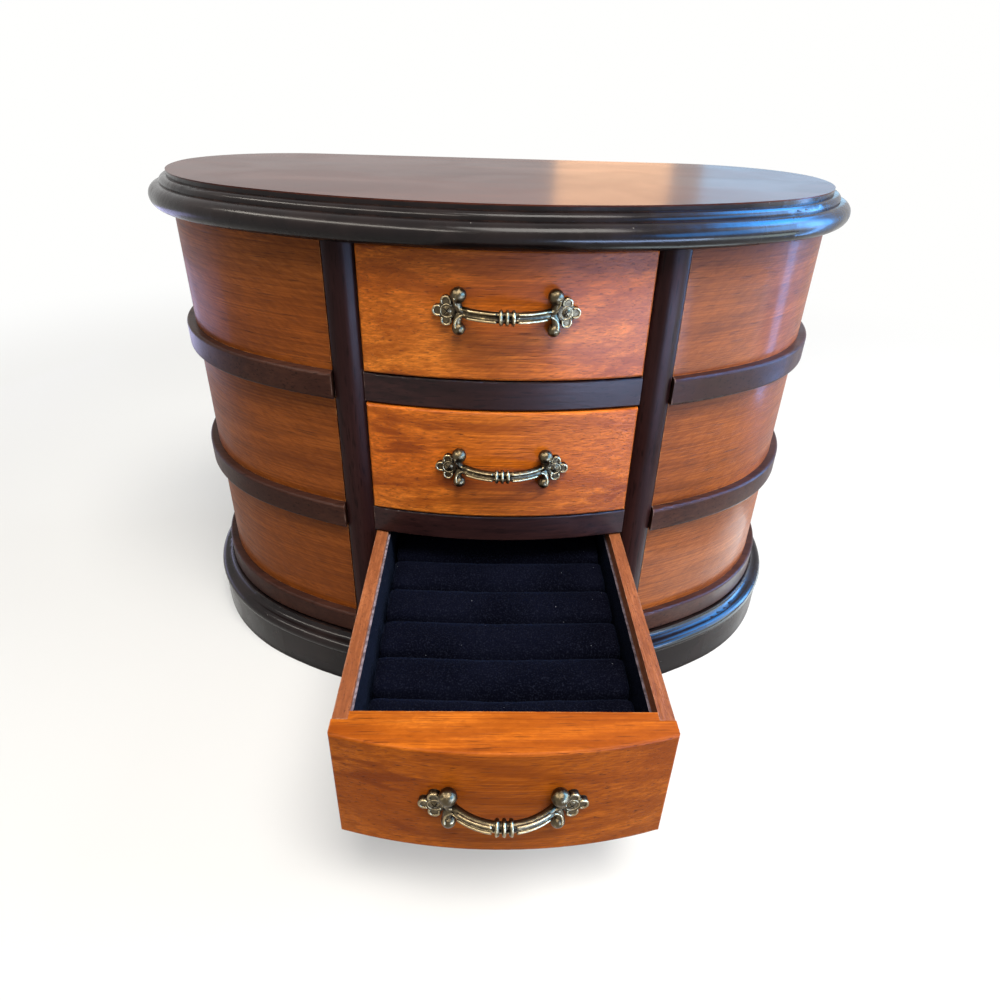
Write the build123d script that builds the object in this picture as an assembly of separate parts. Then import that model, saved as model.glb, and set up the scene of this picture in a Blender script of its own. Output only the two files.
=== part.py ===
"""Oval jewellery box: three bow-front drawers between two stacks of swivel trays."""
from build123d import *
import math
import os

# Driving dimensions, in millimetres.
# X runs along the oval, -Y is the front and Z = 0 is the underside of the plinth.
# Y = 0 is the line through the widest points of the oval, whose back is flat.
half_width = 179.0
front_radius = 236.0
side_radius = 117.0
rear_radius = 66.0
overall_height = 264.5
plinth_height = 31.0
top_thickness = 17.0
deck_thickness = 13.0
divider_thickness = 14.6
drawer_width = 130.0
drawer_open = 135.0
post_width = 14.0
tray_base_thickness = 13.2
tray_overhang = 4.7
overrun = 5.0

drawer_count = 3
tray_count = 3

# The plan: tangent arcs for the front, the sides and the rear corners.
side_centre = half_width - side_radius
rear_centre = half_width - rear_radius
front_centre = math.sqrt((front_radius - side_radius) ** 2 - side_centre ** 2)
front_depth = front_radius - front_centre
front_angle = math.degrees(math.atan2(side_centre, front_centre))
side_angle = 90 - front_angle

# Heights that the pieces share.
deck_top = plinth_height + deck_thickness
carcass_top = overall_height - top_thickness
carcass_height = carcass_top - plinth_height
bay_pitch = (carcass_top - deck_top + divider_thickness) / drawer_count
bay_height = bay_pitch - divider_thickness

parts = {}


def oval_edges(offset=0):
    """Edges of the plan grown outwards by offset, clockwise from the left of the flat back."""
    back = rear_radius + offset
    return [
        Line((-rear_centre, back), (rear_centre, back)),
        CenterArc((rear_centre, 0), rear_radius + offset, 90, -90),
        CenterArc((side_centre, 0), side_radius + offset, 0, -side_angle),
        CenterArc((0, front_centre), front_radius + offset, front_angle - 90, -2 * front_angle),
        CenterArc((-side_centre, 0), side_radius + offset, 180 + side_angle, -side_angle),
        CenterArc((-rear_centre, 0), rear_radius + offset, 180, -90),
    ]


def oval(offset=0):
    """The plan as a face."""
    return Face(Wire(oval_edges(offset)))


def front_y(x):
    """Y of the bowed front at a given X."""
    return front_centre - math.sqrt(front_radius ** 2 - x ** 2)


def rectangle(x0, x1, y0, y1):
    """A flat rectangle between two X and two Y values."""
    return Pos((x0 + x1) / 2, (y0 + y1) / 2) * Rectangle(x1 - x0, y1 - y0)


def prism(face, bottom, height):
    """A plan face raised to a height."""
    return Pos(0, 0, bottom) * extrude(face, height, dir=(0, 0, 1))


def block(x0, x1, y0, y1, z0, z1):
    """A box between two X, two Y and two Z values."""
    return prism(rectangle(x0, x1, y0, y1), z0, z1 - z0)


def moulded_board(profile, bottom, top):
    """A board on the oval plan with its edge profile, drawn outwards and up, run all round it."""
    path = Wire(oval_edges())
    start = Plane(origin=path @ 0, x_dir=(0, 1, 0), z_dir=path % 0)
    edging = sweep(start * make_face(profile), path=path)
    return prism(oval(), bottom, top - bottom) + edging


# Pivots of the swivel trays: a steel rod near each rear corner, with thin washers between trays.
bay_gap = 0.5
bay_half = drawer_width / 2 + bay_gap
tray_side_gap = 1.0
tray_inner = bay_half + post_width + tray_side_gap
pivot_inset = 14.0
pivot_x = tray_inner + pivot_inset
pivot_y = rear_radius - pivot_inset
rod_radius = 3.0
rod_seat = 8.0
rod_fit = 0.03
pivot_fit = 0.06
washer_radius = 7.0
washer_thickness = 0.8
tray_head_gap = 1.0
tray_pitch = (carcass_height - tray_head_gap) / tray_count
tray_height = tray_pitch - washer_thickness
tray_levels = [plinth_height + washer_thickness + level * tray_pitch for level in range(tray_count)]
pivots = [Pos(side * pivot_x, pivot_y) for side in (-1, 1)]


def upright(radius, bottom, top):
    """A round bar on the Z axis between two heights."""
    return prism(Circle(radius), bottom, top - bottom)


rod_bottom = plinth_height - rod_seat
rod_top = carcass_top + rod_seat
rod = upright(rod_radius, rod_bottom, rod_top)
rod_hole = upright(rod_radius + rod_fit, rod_bottom, rod_top)
parts["pivot_rods"] = Compound(children=[place * rod for place in pivots])

washer = Circle(washer_radius) - Circle(rod_radius + rod_fit)
parts["pivot_washers"] = Compound(children=[
    place * prism(washer, level - washer_thickness, washer_thickness)
    for place in pivots for level in tray_levels
])

# Plinth: an upright face, a half-round bead over it and a cove up to the trays.
edging_depth = 6.0
plinth_overhang = 12.4
bead_radius = 3.9
bead_overhang = 13.2
cove_radius = 3.8
bead_centre = bead_overhang - bead_radius
cove_foot = plinth_height - cove_radius
bead_level = cove_foot - bead_radius
bead_turn = math.degrees(math.acos((plinth_overhang - bead_centre) / bead_radius))
bead_foot = bead_level - math.sqrt(bead_radius ** 2 - (plinth_overhang - bead_centre) ** 2)
plinth_profile = [
    Polyline(
        (bead_centre - cove_radius, plinth_height),
        (-edging_depth, plinth_height),
        (-edging_depth, 0),
        (plinth_overhang, 0),
        (plinth_overhang, bead_foot),
    ),
    CenterArc((bead_centre, bead_level), bead_radius, -bead_turn, bead_turn + 90),
    CenterArc((bead_centre, plinth_height), cove_radius, 270, -90),
]
plinth = moulded_board(plinth_profile, 0, plinth_height)
for place in pivots:
    plinth -= place * rod_hole
parts["plinth"] = plinth

# Top board: a big bullnose, a small quarter round above it and a short upright step.
bullnose_radius = 5.5
bullnose_overhang = 10.5
ledge_overhang = 4.4
ledge_radius = 2.8
ledge_height = 3.4
step_overhang = 0.5
veneer_thickness = 0.6
bullnose_centre = bullnose_overhang - bullnose_radius
bullnose_top = carcass_top + 2 * bullnose_radius
ledge_top = bullnose_top + ledge_height
board_top = overall_height - veneer_thickness
top_profile = [
    Polyline(
        (ledge_overhang - ledge_radius, ledge_top),
        (step_overhang, ledge_top),
        (step_overhang, board_top),
        (-edging_depth, board_top),
        (-edging_depth, carcass_top),
        (bullnose_centre, carcass_top),
    ),
    CenterArc((bullnose_centre, carcass_top + bullnose_radius), bullnose_radius, -90, 180),
    Polyline(
        (bullnose_centre, bullnose_top),
        (ledge_overhang, bullnose_top),
        (ledge_overhang, ledge_top - ledge_radius),
    ),
    CenterArc((ledge_overhang - ledge_radius, ledge_top - ledge_radius), ledge_radius, 0, 90),
]
top_board = moulded_board(top_profile, carcass_top, board_top)
for place in pivots:
    top_board -= place * rod_hole
parts["top_board"] = top_board

parts["top_veneer"] = prism(oval(step_overhang), board_top, veneer_thickness)

# Deck and dividers: boards with a bowed front edge, a little behind the drawer fronts.
back_thickness = 6.0
back_front = rear_radius - back_thickness
rail_recess = 1.0
rail_round = 1.0


def divider(bottom, thickness):
    """A board across the drawer bay, with the two edges of its bowed front eased."""
    plan = oval(-rail_recess) & rectangle(-bay_half, bay_half, -front_depth, back_front)
    board = prism(plan, bottom, thickness)
    bowed = board.edges().filter_by(GeomType.CIRCLE)
    return fillet(bowed, rail_round)


parts["base_deck"] = divider(plinth_height, deck_thickness)
parts["lower_divider"] = divider(deck_top + bay_height, divider_thickness)
parts["upper_divider"] = divider(deck_top + bay_pitch + bay_height, divider_thickness)

# Upright frame: a round-fronted post and a partition on each side, and the flat back.
post_crown = 3.0
post_depth = 18.0
partition_thickness = 12.0
post_outer = bay_half + post_width
post_middle = bay_half + post_width / 2
post_front = front_y(post_middle)
post_back = post_front + post_depth
partition_outer = bay_half + partition_thickness
post_left = (bay_half, post_front)
post_right = (post_outer, post_front)
post_plan = make_face([
    ThreePointArc(post_left, (post_middle, post_front - post_crown), post_right),
    Polyline(post_right, (post_outer, post_back), (bay_half, post_back), post_left),
])
right_post = prism(post_plan, plinth_height, carcass_height)
right_partition = block(bay_half, partition_outer, post_back, back_front, plinth_height, carcass_top)
parts["right_post"] = right_post
parts["left_post"] = mirror(right_post, about=Plane.YZ)
parts["right_partition"] = right_partition
parts["left_partition"] = mirror(right_partition, about=Plane.YZ)
parts["back_panel"] = block(
    -partition_outer, partition_outer, back_front, rear_radius, plinth_height, carcass_top
)

# Drawer box: a bowed front, sides lapped into its ends, a back and a bottom held in grooves.
drawer_head_gap = 0.6
front_end_thickness = 11.1
front_round = 1.2
lap_depth = 4.0
side_thickness = 6.0
side_inset = 0.3
drawer_back_gap = 5.0
bottom_thickness = 3.0
bottom_lift = 3.0
groove_depth = 2.5
groove_fit = 0.1
lining_thickness = 1.0
lining_drop = 2.0
front_height = bay_height - 2 * drawer_head_gap
front_half = drawer_width / 2
front_inner = front_y(front_half) + front_end_thickness
side_outer = front_half - side_inset
side_inner = side_outer - side_thickness
lap_front = front_inner - lap_depth
drawer_rear = back_front - drawer_back_gap
back_inner = drawer_rear - side_thickness
groove_low = bottom_lift - groove_fit
groove_high = bottom_lift + bottom_thickness + groove_fit
groove_half = side_inner + groove_depth
groove_front = front_inner - groove_depth
floor_level = bottom_lift + bottom_thickness


def drawer_box():
    """The boards of one closed drawer, with its underside at Z = 0."""
    plan = oval() & rectangle(-front_half, front_half, -front_depth, front_inner)
    front = prism(plan, 0, front_height)
    bowed = front.edges().filter_by(GeomType.CIRCLE)
    ends = front.edges().filter_by(Axis.Z).group_by(Axis.Y)[0]
    groove_rear = drawer_rear + overrun
    groove = block(-groove_half, groove_half, groove_front, groove_rear, groove_low, groove_high)
    lap = block(side_inner, front_half + overrun, lap_front, front_inner, 0, front_height)
    front = fillet(bowed + ends, front_round) - groove - lap - mirror(lap, about=Plane.YZ)
    side = block(side_inner, side_outer, lap_front, drawer_rear, 0, front_height) - groove
    bottom_half = groove_half - groove_fit
    bottom_front = groove_front + groove_fit
    interior = (-side_inner, side_inner, front_inner, back_inner)
    lining_top = front_height - lining_drop
    hollow = (
        lining_thickness - side_inner,
        side_inner - lining_thickness,
        front_inner + lining_thickness,
        back_inner - lining_thickness,
    )
    lining = block(*interior, floor_level, lining_top)
    lining -= block(*hollow, floor_level + lining_thickness, lining_top + overrun)
    return {
        "front": front,
        "right_side": side,
        "left_side": mirror(side, about=Plane.YZ),
        "back": block(-side_inner, side_inner, back_inner, drawer_rear, floor_level, front_height),
        "bottom": block(-bottom_half, bottom_half, bottom_front, drawer_rear, bottom_lift, floor_level),
        "lining": lining,
    }


# Drawer pull: a cast bow with a trefoil rosette and two curled scrolls at each end.
pull_spacing = 51.0
pull_projection = 10.0
bow_half = 18.6
bow_start = 2.4
bar_height = 4.7
bar_depth = 3.4
bar_round = 1.5
flute_radius = 1.3
flute_inset_share = 0.35
ring_radius = 3.2
ring_width = 1.6
ring_pitch = 2.6
ring_round = 0.6
rosette_thickness = 2.2
rosette_round = 0.8
hub_radius = 4.4
lobe_radius = 2.45
lobe_reach = 4.05
lobe_angles = (0, 85, -85)
web_thickness = 1.2
upper_scroll_radius = 3.5
lower_scroll_radius = 2.9
scroll_back = 5.2
scroll_rise = 7.2
arm_radius = 1.7
arm_bulge = 1.4


def rosette_disc(radius):
    """A disc with a rounded rim that faces the front, sunk by its own thickness behind Y = 0."""
    disc = prism(Circle(radius), -rosette_thickness, 2 * rosette_thickness)
    rim = disc.edges().sort_by(Axis.Z)[-1]
    return Rot(X=90) * fillet(rim, rosette_round)


def rosette():
    """The right-hand end of a pull, round a fixing point at the origin of a flat front."""
    plate = rosette_disc(hub_radius)
    for angle in lobe_angles:
        turn = math.radians(angle)
        spot = Pos(lobe_reach * math.cos(turn), 0, lobe_reach * math.sin(turn))
        plate += spot * rosette_disc(lobe_radius)
    neck_x = bow_half - pull_spacing / 2
    web = make_face(Polyline(
        (neck_x, 0), (-scroll_back, scroll_rise), (0, 0), (-scroll_back, -scroll_rise), close=True
    ))
    plate += Pos(0, rosette_thickness) * extrude(Plane.XZ * web, rosette_thickness + web_thickness)
    for side, radius in ((1, upper_scroll_radius), (-1, lower_scroll_radius)):
        tip = (-scroll_back, -radius, side * scroll_rise)
        foot = (neck_x, -bow_start, 0)
        waist = ((tip[0] + foot[0]) / 2 + arm_bulge, -radius, side * scroll_rise / 2)
        path = ThreePointArc(foot, waist, tip)
        arm = sweep(Plane(origin=path @ 0, z_dir=path % 0) * Circle(arm_radius), path=path)
        plate += arm + Pos(*tip) * Sphere(radius)
    return plate


def pull():
    """A whole pull, centred on Z = 0, with its feet shaped to the bowed front."""
    seat_angle = math.degrees(math.asin(pull_spacing / 2 / front_radius))
    to_front = Pos(0, front_centre)
    right = to_front * Rot(Z=seat_angle) * Pos(0, -front_radius) * rosette()
    start_y = -front_depth - bow_start
    crown_y = -front_depth - pull_projection
    path = ThreePointArc((-bow_half, start_y), (0, crown_y), (bow_half, start_y))
    section = RectangleRounded(bar_depth, bar_height, bar_round)
    section -= Pos(bar_depth / 2 + flute_inset_share * flute_radius) * Circle(flute_radius)
    outward = Vector(path % 0).cross(Vector(0, 0, 1))
    bar = sweep(Plane(origin=path @ 0, x_dir=outward, z_dir=path % 0) * section, path=path)
    for step in (-1, 0, 1):
        ring = extrude(Circle(ring_radius), ring_width / 2, both=True)
        ring = fillet(ring.edges(), ring_round)
        bar += Pos(step * ring_pitch, crown_y) * Rot(Y=90) * ring
    body = bar + right + mirror(right, about=Plane.YZ)
    return body - to_front * Cylinder(front_radius, 2 * front_height)


# Ring rolls: padded strips across the bottom drawer, side by side with slits between them.
roll_count = 6
roll_pitch = 24.7
roll_gap = 0.6
roll_height = 35.0
roll_crown = 7.0
roll_side_gap = 1.6
roll_clearance = 0.3
roll_end_round = 2.5


def ring_rolls():
    """The rolls of one closed drawer, with their undersides just above its lining."""
    half = side_inner - lining_thickness - roll_side_gap
    depth = roll_pitch - roll_gap
    shoulder = roll_height - roll_crown
    profile = make_face([
        Polyline((0, shoulder), (0, 0), (depth, 0), (depth, shoulder)),
        ThreePointArc((depth, shoulder), (depth / 2, roll_height), (0, shoulder)),
    ])
    strip = extrude(Plane.YZ.offset(-half) * profile, 2 * half)
    front_view = Pos(0, roll_height / 2) * Rectangle(2 * half, roll_height)
    front_view = fillet(front_view.vertices().group_by(Axis.Y)[-1], roll_end_round)
    roll = strip & extrude(Plane.XZ * front_view, -depth)
    first = front_inner + lining_thickness + roll_clearance
    level = floor_level + lining_thickness + roll_clearance
    places = [Pos(0, first + step * roll_pitch, level) for step in range(roll_count)]
    return Compound(children=[place * roll for place in places])


# The three drawers: name, how far it stands open and how far its pull sits above its middle.
bottom_pull_rise = 1.5
middle_pull_rise = 0.4
top_pull_rise = 3.2
drawers = [
    ("bottom_drawer", drawer_open, bottom_pull_rise),
    ("middle_drawer", 0, middle_pull_rise),
    ("top_drawer", 0, top_pull_rise),
]
box_boards = drawer_box()
cast_pull = pull()
for level, (name, opened, pull_rise) in enumerate(drawers):
    place = Pos(0, -opened, deck_top + level * bay_pitch + drawer_head_gap)
    for board, solid in box_boards.items():
        parts[f"{name}_{board}"] = place * solid
    parts[f"{name}_pull"] = place * Pos(0, 0, front_height / 2 + pull_rise) * cast_pull
    if opened:
        parts[f"{name}_ring_rolls"] = place * ring_rolls()

# Swivel trays: a thick base that shows as a band, a bent panel, an inner wall with the pivot, a lining.
panel_thickness = 6.0
tray_wall_thickness = 6.0
stile_reach = 10.0
band_round = 1.5
stile_end = pivot_x + stile_reach
stile_front = pivot_y - stile_reach
wall_inner = tray_inner + tray_wall_thickness
far_x = half_width + tray_overhang + overrun
far_front = -front_depth - tray_overhang - overrun
far_back = rear_radius + tray_overhang + overrun


def outside(x):
    """Everything to the right of an X value, as a flat face."""
    return rectangle(x, far_x, far_front, far_back)


def stile_plan(grow=0):
    """The corner block that the rod passes through, grown on its inner sides."""
    return rectangle(tray_inner, stile_end + grow, stile_front - grow, rear_radius)


def round_corner(face):
    """Rounds the rear inner corner about the pivot."""
    corner = rectangle(tray_inner, pivot_x, pivot_y, rear_radius)
    sector = corner & Pos(pivot_x, pivot_y) * Circle(pivot_inset)
    return face - corner + (face & sector)


def tray_room(inset=0):
    """The room inside a tray's walls, less an inset all round."""
    room = oval(-panel_thickness - inset) & outside(wall_inner + inset)
    return room - stile_plan(inset)


def right_tray():
    """The pieces of a right-hand tray, with the underside of its base at Z = 0."""
    bore = Pos(pivot_x, pivot_y) * Circle(rod_radius + pivot_fit)
    plan = round_corner(oval() & outside(tray_inner))
    band = oval(tray_overhang) & outside(tray_inner)
    band -= rectangle(tray_inner - overrun, rear_centre, 0, far_back)
    base = prism(plan + band - bore, 0, tray_base_thickness)
    shown = base.edges().filter_by(GeomType.CIRCLE).filter_by(lambda edge: edge.radius > rear_radius)
    base = fillet(shown, band_round)
    wall_height = tray_height - tray_base_thickness
    panel = (oval() - oval(-panel_thickness)) & outside(tray_inner)
    panel -= rectangle(tray_inner - overrun, stile_end, 0, far_back)
    wall = oval(-panel_thickness) & rectangle(tray_inner, wall_inner, far_front, pivot_y)
    wall = round_corner(wall + stile_plan()) - bore
    lining_height = wall_height - lining_drop
    lining = prism(tray_room(), tray_base_thickness, lining_height)
    lining -= prism(tray_room(lining_thickness), tray_base_thickness + lining_thickness, lining_height)
    return {
        "base": base,
        "panel": prism(panel, tray_base_thickness, wall_height),
        "wall": prism(wall, tray_base_thickness, wall_height),
        "lining": lining,
    }


tray_pieces = right_tray()
for level, level_name in enumerate(("bottom", "middle", "top")):
    place = Pos(0, 0, tray_levels[level])
    for piece, solid in tray_pieces.items():
        parts[f"right_{level_name}_tray_{piece}"] = place * solid
        parts[f"left_{level_name}_tray_{piece}"] = place * mirror(solid, about=Plane.YZ)

os.makedirs("parts", exist_ok=True)
for name, solid in parts.items():
    export_step(solid, f"parts/{name}.step")
print(len(parts), "parts")
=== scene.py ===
import bmesh
import bpy
import math
from mathutils import Matrix, Vector, noise


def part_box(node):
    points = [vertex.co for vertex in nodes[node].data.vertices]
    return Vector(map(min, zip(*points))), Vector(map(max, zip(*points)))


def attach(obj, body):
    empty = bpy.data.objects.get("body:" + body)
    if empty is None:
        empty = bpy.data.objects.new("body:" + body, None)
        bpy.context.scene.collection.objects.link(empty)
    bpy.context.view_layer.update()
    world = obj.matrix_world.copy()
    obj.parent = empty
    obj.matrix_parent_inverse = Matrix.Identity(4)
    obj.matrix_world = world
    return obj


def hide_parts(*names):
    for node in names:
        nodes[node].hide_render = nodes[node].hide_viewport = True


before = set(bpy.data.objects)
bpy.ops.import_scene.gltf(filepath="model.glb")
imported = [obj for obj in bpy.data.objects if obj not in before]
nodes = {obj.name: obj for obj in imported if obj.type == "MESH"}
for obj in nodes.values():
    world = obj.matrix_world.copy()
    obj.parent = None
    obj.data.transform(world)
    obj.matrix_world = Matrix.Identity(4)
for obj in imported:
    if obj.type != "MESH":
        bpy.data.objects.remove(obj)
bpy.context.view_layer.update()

# Plinth and top board: solid boards with moulded edges, sprayed with near-black lacquer.
# The lacquer lies a little thick and uneven in the mouldings, and edges are rubbed to brown. Its coat is
# dimmed in the hollows as a painted shade.


def add(tree, kind, inputs=(), **settings):
    """A shader node; inputs pairs a socket's name or number with a value or another socket."""
    made = tree.nodes.new("ShaderNode" + kind)
    for key, value in settings.items():
        setattr(made, key, value)
    for key, value in dict(inputs).items():
        if isinstance(value, bpy.types.NodeSocket):
            tree.links.new(value, made.inputs[key])
        else:
            made.inputs[key].default_value = value
    return made


def maths(tree, operation, *values):
    """The result of a Math node."""
    return add(tree, "Math", dict(enumerate(values)), operation=operation).outputs[0]


def ease(tree, value, low, high):
    """A mask that rises smoothly from 0 to 1 as the value goes from low to high."""
    made = add(tree, "MapRange", {0: value, 1: low, 2: high}, interpolation_type="SMOOTHSTEP")
    return made.outputs[0]


def blend_colour(tree, share, first, second):
    """Two colours mixed by a share or a mask."""
    return add(tree, "Mix", {0: share, 6: first, 7: second}, data_type="RGBA").outputs[2]


def rgb(red, green, blue):
    """A colour from linear red, green and blue."""
    return (red, green, blue, 1.0)


def effect(name, inputs, outputs):
    """A shader node group with named sockets, and its inner input and output sockets."""
    tree = bpy.data.node_groups.new(name, "ShaderNodeTree")
    for label, kind, value in inputs:
        socket = tree.interface.new_socket(label, in_out="INPUT", socket_type="NodeSocket" + kind)
        if value is not None:
            socket.default_value = value
    for label in outputs:
        tree.interface.new_socket(label, in_out="OUTPUT", socket_type="NodeSocketFloat")
    return tree, tree.nodes.new("NodeGroupInput").outputs, tree.nodes.new("NodeGroupOutput").inputs


def place(tree, group, **inputs):
    """A node group set into a material."""
    made = tree.nodes.new("ShaderNodeGroup")
    made.node_tree = group
    for key, value in inputs.items():
        if isinstance(value, bpy.types.NodeSocket):
            tree.links.new(value, made.inputs[key])
        else:
            made.inputs[key].default_value = value
    return made.outputs


def finish_of(name, **constants):
    """A new material with one shader, and its node tree, shader and object coordinates."""
    made = bpy.data.materials.new(name)
    made.use_nodes = True
    tree = made.node_tree
    shader = tree.nodes["Principled BSDF"]
    for key, value in constants.items():
        shader.inputs[key.replace("_", " ")].default_value = value
    spot = tree.nodes.new("ShaderNodeTexCoord").outputs["Object"]
    return made, tree, shader, spot


def bump(tree, shader, height, depth):
    """Feeds a height in metres into the shader's normal."""
    made = add(tree, "Bump", {"Height": height, "Distance": depth, "Strength": 1.0})
    tree.links.new(made.outputs[0], shader.inputs["Normal"])


def give(material, *names):
    """Puts a material on CAD nodes."""
    for name in names:
        data = nodes[name].data
        data.materials.clear()
        data.materials.append(material)


# Rubbed edges: finish worn thin along the corners of the boards by hands and dusters.
# They are drawn as a mask along every sharp edge, broken up by noise.
rub_begins, rub_full = 0.03, 0.22
rub_patch = (0.42, 0.66)
rubbed_edges, ins, outs = effect(
    "rubbed_edges",
    [("Vector", "Vector", None), ("Reach", "Float", 0.001), ("Breakup", "Float", 180.0)],
    ["Mask"],
)
softened = add(rubbed_edges, "Bevel", {"Radius": ins["Reach"]}, samples=6)
true_normal = add(rubbed_edges, "NewGeometry").outputs["Normal"]
facing = add(
    rubbed_edges, "VectorMath", {0: softened.outputs[0], 1: true_normal}, operation="DOT_PRODUCT"
).outputs["Value"]
turned = ease(rubbed_edges, maths(rubbed_edges, "SUBTRACT", 1.0, facing), rub_begins, rub_full)
patches = add(
    rubbed_edges, "TexNoise",
    {"Vector": ins["Vector"], "Scale": ins["Breakup"], "Detail": 5.0, "Roughness": 0.65},
).outputs[0]
rubbed = maths(rubbed_edges, "MULTIPLY", turned, ease(rubbed_edges, patches, *rub_patch))
rubbed_edges.links.new(rubbed, outs["Mask"])

# Lacquer skin: the sprayed coat, with slow waves where it ran before it set.
# Fine orange peel covers it, and a few nibs of dust are caught in it.
peel_share = 0.16
nib_cells, nib_limit, nib_size = 260.0, 0.93, 0.075
lacquer_skin, ins, outs = effect(
    "lacquer_skin",
    [("Vector", "Vector", None), ("Waves", "Float", 45.0), ("Peel", "Float", 420.0)],
    ["Height", "Dull", "Dust"],
)
waves = add(
    lacquer_skin, "TexNoise",
    {"Vector": ins["Vector"], "Scale": ins["Waves"], "Detail": 2.0, "Distortion": 0.6},
).outputs[0]
peel = add(
    lacquer_skin, "TexNoise", {"Vector": ins["Vector"], "Scale": ins["Peel"], "Detail": 3.0}
).outputs[0]
height = maths(lacquer_skin, "ADD", waves, maths(lacquer_skin, "MULTIPLY", peel, peel_share))
lacquer_skin.links.new(height, outs["Height"])
lacquer_skin.links.new(ease(lacquer_skin, waves, 0.3, 0.7), outs["Dull"])


def specks(tree, vector, cells, kept_over, size, channel):
    """A mask of small round specks, in the few cells whose random value is over a limit."""
    cell = add(tree, "TexVoronoi", {"Vector": vector, "Scale": cells, "Randomness": 1.0})
    chance = add(tree, "SeparateColor", {0: cell.outputs["Color"]}).outputs[channel]
    kept = maths(tree, "GREATER_THAN", chance, kept_over)
    return maths(tree, "MULTIPLY", kept, maths(tree, "LESS_THAN", cell.outputs["Distance"], size))


nibs = specks(lacquer_skin, ins["Vector"], nib_cells, nib_limit, nib_size, 0)
lacquer_skin.links.new(nibs, outs["Dust"])


def black_lacquer(name, runs, hollow_shade):
    """Near-black lacquer; runs is the depth of its spray waves, and the last argument is the share by which
    an occlusion mask dims the coat in hollows, a painted shade.
    """
    made, tree, shader, spot = finish_of(name, Coat_Roughness=0.16, Specular_IOR_Level=0.06)
    # An occlusion mask dims the coat in the hollows of the mouldings: painted shade.
    hollows = add(tree, "AmbientOcclusion", {"Distance": 0.006}, samples=8).outputs["AO"]
    polish = maths(tree, "MULTIPLY_ADD", ease(tree, hollows, 0.55, 0.92), hollow_shade, 1.0 - hollow_shade)
    tree.links.new(maths(tree, "MULTIPLY", polish, 0.21), shader.inputs["Coat Weight"])
    skin = place(tree, lacquer_skin, Vector=spot)
    edges = place(tree, rubbed_edges, Vector=spot, Reach=0.0011, Breakup=150.0)
    tone = blend_colour(tree, skin["Dull"], rgb(0.0075, 0.0050, 0.0052), rgb(0.014, 0.0085, 0.0080))
    tone = blend_colour(tree, maths(tree, "MULTIPLY", edges["Mask"], 0.55), tone, rgb(0.075, 0.030, 0.016))
    tone = blend_colour(tree, maths(tree, "MULTIPLY", skin["Dust"], 0.5), tone, rgb(0.30, 0.28, 0.26))
    tree.links.new(tone, shader.inputs["Base Color"])
    tree.links.new(maths(tree, "MULTIPLY_ADD", skin["Dull"], 0.14, 0.20), shader.inputs["Roughness"])
    bump(tree, shader, skin["Height"], runs)
    return made


give(black_lacquer("moulded_lacquer", runs=0.0006, hollow_shade=0.2), "top_board")
give(black_lacquer("plinth_lacquer", runs=0.00012, hollow_shade=0.95), "plinth")

# Top veneer: a thin leaf of reddish wood laid on the top board under a deep gloss.
# Its grain runs along the box, and a few specks of dust are caught in the gloss.
wood_grain, ins, outs = effect(
    "wood_grain",
    [
        ("Vector", "Vector", None),
        ("Fibres", "Float", 620.0),
        ("Along", "Float", 15.0),
        ("Figure", "Float", 34.0),
        ("Rings", "Float", 5.0),
    ],
    ["Fibre", "Ring", "Tone", "Streak", "Mottle", "Pore"],
)


def stretched_noise(tree, vector, along, across, detail, distortion=0.0):
    """Noise drawn out along X, with its cells per metre along and across the grain."""
    scale = add(tree, "CombineXYZ", {0: along, 1: across, 2: across}).outputs[0]
    spread = add(tree, "VectorMath", {0: vector, 1: scale}, operation="MULTIPLY").outputs[0]
    made = add(
        tree, "TexNoise",
        {"Vector": spread, "Scale": 1.0, "Detail": detail, "Roughness": 0.6, "Distortion": distortion},
    )
    return made.outputs[0]


fibre = stretched_noise(wood_grain, ins["Vector"], ins["Along"], ins["Fibres"], 4.0, 0.4)
wood_grain.links.new(ease(wood_grain, fibre, 0.28, 0.72), outs["Fibre"])
figure_along = maths(wood_grain, "MULTIPLY", ins["Figure"], 0.13)
figure = stretched_noise(wood_grain, ins["Vector"], figure_along, ins["Figure"], 2.0, 0.5)
turns = maths(wood_grain, "MULTIPLY", maths(wood_grain, "MULTIPLY", figure, ins["Rings"]), math.tau)
ring = maths(wood_grain, "MULTIPLY_ADD", maths(wood_grain, "SINE", turns), 0.5, 0.5)
wood_grain.links.new(ease(wood_grain, ring, 0.25, 0.95), outs["Ring"])
slow_tone = stretched_noise(wood_grain, ins["Vector"], 4.0, 16.0, 2.0)
wood_grain.links.new(ease(wood_grain, slow_tone, 0.3, 0.7), outs["Tone"])
streak = stretched_noise(wood_grain, ins["Vector"], 6.5, 150.0, 3.0, 0.8)
streak_patch = stretched_noise(wood_grain, ins["Vector"], 9.0, 26.0, 1.0)
streak = ease(wood_grain, streak, 0.48, 0.66)
streak_patch = ease(wood_grain, streak_patch, 0.42, 0.60)
wood_grain.links.new(maths(wood_grain, "MULTIPLY", streak, streak_patch), outs["Streak"])
leaning = add(wood_grain, "Mapping", {"Vector": ins["Vector"], "Rotation": (0.0, 0.35, 0.0)}).outputs[0]
mottle = stretched_noise(wood_grain, leaning, 130.0, 560.0, 3.0, 0.8)
wood_grain.links.new(ease(wood_grain, mottle, 0.36, 0.66), outs["Mottle"])
pore_along = maths(wood_grain, "MULTIPLY", ins["Along"], 8.0)
pore_across = maths(wood_grain, "MULTIPLY", ins["Fibres"], 1.9)
pore = stretched_noise(wood_grain, ins["Vector"], pore_along, pore_across, 1.0)
wood_grain.links.new(ease(wood_grain, pore, 0.60, 0.72), outs["Pore"])


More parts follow.
